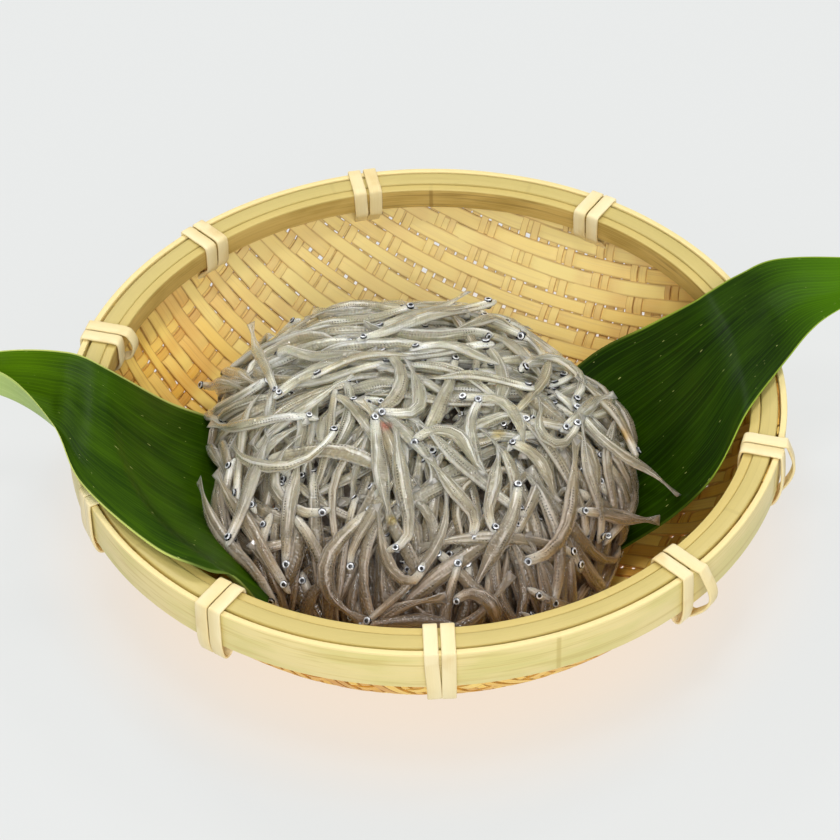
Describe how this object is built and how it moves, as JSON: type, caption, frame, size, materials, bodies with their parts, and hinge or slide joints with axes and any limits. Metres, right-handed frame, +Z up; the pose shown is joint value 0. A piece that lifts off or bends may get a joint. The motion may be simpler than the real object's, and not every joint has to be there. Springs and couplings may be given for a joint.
{
  "type": "dish of raw whitebait",
  "caption": "Shallow round woven bamboo basket with a bound rim, two long green leaves laid over it and a heap of raw translucent whitebait",
  "frame": {"origin": "middle of the basket's flat underside, on the surface it stands on", "axes": "+Z up out of the bowl; the front faces -Y; the two leaves reach out along -X and +X, the longest extent"},
  "size_m": [0.3322, 0.243, 0.0692],
  "materials": {
    "bamboo_weave": "straw to orange-tan split bamboo, satin, fine grain along each strip",
    "bamboo_hoop": "pale yellow-green bamboo skin, satin, fine lengthwise fibres",
    "cane": "cream cane strap, satin",
    "leaf": "dark green waxy leaf with fine parallel veins",
    "whitebait": "wet, translucent grey-white fish flesh"
  },
  "bodies": {
    "root": {"basket_weave": "bamboo_weave", "rim_thick_hoop": "bamboo_hoop", "rim_inner_strip": "bamboo_hoop", "rim_outer_strip": "bamboo_hoop", "rim_tie_01a": "cane", "rim_tie_01b": "cane", "rim_tie_02a": "cane", "rim_tie_02b": "cane", "rim_tie_03a": "cane", "rim_tie_03b": "cane", "rim_tie_04a": "cane", "rim_tie_04b": "cane", "rim_tie_05a": "cane", "rim_tie_05b": "cane", "rim_tie_06a": "cane", "rim_tie_06b": "cane", "rim_tie_07a": "cane", "rim_tie_07b": "cane", "rim_tie_08a": "cane", "rim_tie_08b": "cane", "rim_tie_09a": "cane", "rim_tie_09b": "cane", "rim_tie_10a": "cane", "rim_tie_10b": "cane", "leaf_left": "leaf", "leaf_right": "leaf", "whitebait_heap": "whitebait"}
  },
  "joints": []
}
